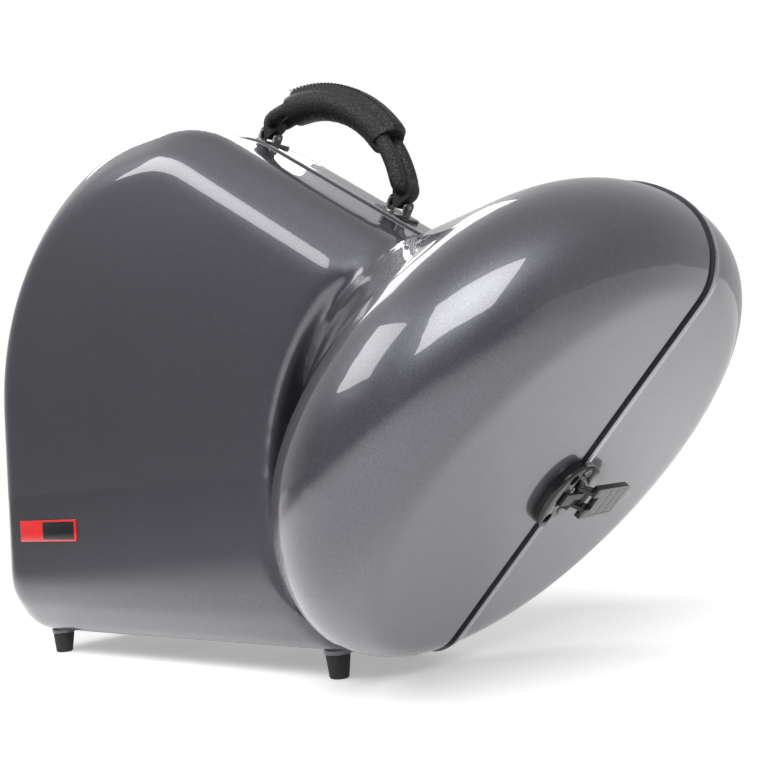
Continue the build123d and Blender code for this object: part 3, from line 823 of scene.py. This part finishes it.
def stitch(angle):
    """One stitch of thread beside the flap's edge."""
    lean = math.radians(stitch_angle)
    width = -math.sin(lean) * sleeve_half_width
    lift = math.cos(lean) * sleeve_half_height + stitch_lift
    middle = bow_point(angle, width, lift)
    ahead = (bow_point(angle + 0.01, width, lift) - middle).normalized()
    side_way = Vector((0, 1, 0))
    up_way = ahead.cross(side_way)
    rings = []
    for share, size in ((-1, 0.35), (-0.7, 0.85), (0, 1), (0.7, 0.85), (1, 0.35)):
        centre = middle + ahead * stitch_half_length * share
        rings.append([
            centre + (side_way * math.cos(a) + up_way * math.sin(a)) * stitch_radius * size
            for a in (2 * math.pi * n / 8 for n in range(8))
        ])
    return loft("stitch", rings)


def build_strap(end, name, node):
    """A leather loop round the turn of the cord, drawn down to the pin of its anchor."""
    upper = Vector((end * turn_x, turn_z))
    lower = Vector((end * turn_x, handle_pin_lift))
    gap = (upper - lower).length
    lean = math.asin((strap_radius - knuckle_radius) / gap)
    outline = []
    for n in range(25):
        angle = -lean + (math.pi + 2 * lean) * n / 24
        outline.append(upper + Vector((math.cos(angle), math.sin(angle))) * strap_radius)
    for n in range(13):
        angle = math.pi + lean + (math.pi - 2 * lean) * n / 12
        outline.append(lower + Vector((math.cos(angle), math.sin(angle))) * knuckle_radius)
    rings = []
    middle = (upper + lower) / 2
    levels = ((-1, 0.90), (-0.94, 0.97), (-0.8, 1), (0, 1.015), (0.8, 1), (0.94, 0.97), (1, 0.90))
    for share, size in levels:
        flat = [middle + (point - middle) * size for point in outline]
        rings.append([at_grip(point.x, share * strap_half_width, point.y) for point in flat])
    finish_leather(loft(name, rings), node)


build_cord()
build_sleeve()
build_strap(-1, "strap_left", "handle_strap_left")
build_strap(1, "strap_right", "handle_strap_right")


# Blank plate on the lid
def build_plate(name, left, inset, thickness, finish):
    """One block of the plate, its border on the other three sides given by inset."""
    low = Vector((left, -tray_half_depth - thickness, plate_bottom + inset))
    high = Vector((plate_right - inset, -tray_half_depth + plate_embed, plate_top - inset))
    bpy.ops.mesh.primitive_cube_add(size=1, location=(low + high) / 2, scale=high - low)
    plate = bpy.context.object
    plate.name = plate.data.name = name
    bpy.ops.object.transform_apply()
    modify(plate, "BEVEL", width=plate_rounding, segments=3, limit_method="ANGLE")
    shade(plate, 40)
    dress(plate, finish)
    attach(plate, "lid")


build_plate("plate_frame", plate_left, 0.0, plate_thickness, "red_enamel")
build_plate("plate_field", field_left, plate_border, field_thickness, "black_lacquer")

# Latches, hinges, anchors, screws and feet
for fitting_node in frame["nodes"]:
    node_slot = slots[fitting_node]
    if node_slot in ("black_lacquer", "zinc_steel", "grey_inlay", "black_steel"):
        fitting(fitting_node, node_slot, fitting_edge)
    elif node_slot == "black_rubber" and fitting_node != "edge_seal":
        fitting(fitting_node, node_slot, foot_edge)


# Floor, backdrop and light
def add_floor():
    """A white floor that is lit near the object and plain white farther out."""
    bpy.ops.mesh.primitive_plane_add(size=floor_size, location=(0, 0, 0))
    floor = bpy.context.object
    floor.name = "floor"
    recipe = Recipe("floor_white")
    reach = recipe.add("ShaderNodeVectorMath", {"operation": "LENGTH"}, {0: recipe.place}, "Value")
    far = recipe.band(reach, lit_radius, white_radius)
    material = recipe.finish(Base_Color=(0.92, 0.92, 0.92), Roughness=0.9)
    recipe.shader.inputs["Emission Color"].default_value = (1, 1, 1, 1)
    recipe.shader.inputs["Emission Strength"].default_value = floor_glow
    glow = recipe.add("ShaderNodeEmission", {}, {"Color": (1.0, 1.0, 1.0)})
    gloom = recipe.add("ShaderNodeEmission", {}, {"Color": (0.09, 0.09, 0.10)})
    lit = Field(recipe, recipe.shader.outputs[0])
    depth = recipe.add("ShaderNodeSeparateXYZ", {}, {0: recipe.place}, "Y")
    mirrored = recipe.add("ShaderNodeLightPath", {}, {}, "Is Glossy Ray") * recipe.band(depth, 0.1, -0.5)
    away = recipe.add("ShaderNodeMixShader", {}, {0: mirrored, 1: glow, 2: gloom})
    seen = recipe.add("ShaderNodeMixShader", {}, {0: far, 1: lit, 2: away})
    recipe.feed(recipe.tree.nodes["Material Output"].inputs["Surface"], seen)
    floor.data.materials.append(material)


def add_light(name, place, target, size, power, mirrored=True):
    """A rectangular lamp aimed at target; one that isn't mirrored leaves no image of itself in the paint."""
    light = bpy.data.lights.new(name, "AREA")
    light.shape = "RECTANGLE"
    light.size, light.size_y = size
    light.energy = power
    lamp = bpy.data.objects.new(name, light)
    lamp.location = place
    lamp.rotation_mode = "QUATERNION"
    lamp.rotation_quaternion = (Vector(target) - Vector(place)).to_track_quat("-Z", "Y")
    lamp.visible_glossy = mirrored
    bpy.context.scene.collection.objects.link(lamp)


def add_world():
    """A white studio that is dark on the camera's side, as the reflections in the photograph show."""
    world = bpy.data.worlds.new("studio")
    bpy.context.scene.world = world
    world.use_nodes = True
    nodes, links = world.node_tree.nodes, world.node_tree.links

    def maths(operation, first, second):
        node = nodes.new("ShaderNodeMath")
        node.operation = operation
        for socket, value in zip(node.inputs, (first, second)):
            if isinstance(value, float):
                socket.default_value = value
            else:
                links.new(value, socket)
        return node.outputs[0]

    def band(value, low, high):
        node = nodes.new("ShaderNodeMapRange")
        node.interpolation_type = "SMOOTHSTEP"
        links.new(value, node.inputs[0])
        node.inputs[1].default_value, node.inputs[2].default_value = low, high
        return node.outputs[0]

    direction = nodes.new("ShaderNodeSeparateXYZ")
    links.new(nodes.new("ShaderNodeTexCoord").outputs["Generated"], direction.inputs[0])
    towards_front = band(direction.outputs["Y"], *front_directions)
    below_ceiling = band(direction.outputs["Z"], *ceiling_directions)
    dark_side = maths("MULTIPLY", towards_front, below_ceiling)
    path = nodes.new("ShaderNodeLightPath")
    bright_side = maths("MULTIPLY", maths("SUBTRACT", 1.0, dark_side), backdrop_mirrored)
    mirrored = maths("MULTIPLY", path.outputs["Is Glossy Ray"], bright_side)
    seen = maths("MAXIMUM", path.outputs["Is Camera Ray"], path.outputs["Is Transmission Ray"])
    nodes["Background"].inputs["Color"].default_value = (*room_tone, 1)
    white = nodes.new("ShaderNodeBackground")
    white.inputs["Color"].default_value = (1, 1, 1, 1)
    mix = nodes.new("ShaderNodeMixShader")
    links.new(maths("MAXIMUM", seen, mirrored), mix.inputs[0])
    links.new(nodes["Background"].outputs[0], mix.inputs[1])
    links.new(white.outputs[0], mix.inputs[2])
    links.new(mix.outputs[0], nodes["World Output"].inputs["Surface"])


def add_camera():
    azimuth, elevation, roll = (math.radians(angle) for angle in camera_angles)
    level = math.cos(elevation)
    back = Vector((math.sin(azimuth) * level, -math.cos(azimuth) * level, math.sin(elevation)))
    camera = bpy.data.objects.new("camera", bpy.data.cameras.new("camera"))
    camera.location = Vector(camera_target) + back * camera_distance
    camera.rotation_mode = "QUATERNION"
    camera.rotation_quaternion = (-back).to_track_quat("-Z", "Y") @ Quaternion((0, 0, 1), roll)
    camera.data.lens = camera_lens
    camera.data.sensor_width = 36
    camera.data.clip_start = 0.02
    bpy.context.scene.collection.objects.link(camera)
    bpy.context.scene.camera = camera


add_floor()
add_world()
add_light("key", (0.95, -1.25, 1.50), (0.05, 0, 0.2), (1.5, 1.25), 50)
add_light("fill", (1.7, -0.5, 1.3), (0.1, 0, 0.2), (0.9, 0.9), 4, mirrored=False)
add_light("left", (-0.9, -1.1, 1.35), (-0.05, 0, 0.25), (1.0, 0.8), 15)
add_light("rim", (-1.2, 0.9, 1.5), (-0.1, 0, 0.3), (1.2, 0.7), 10)
add_camera()
bpy.context.scene.view_settings.view_transform = "Standard"
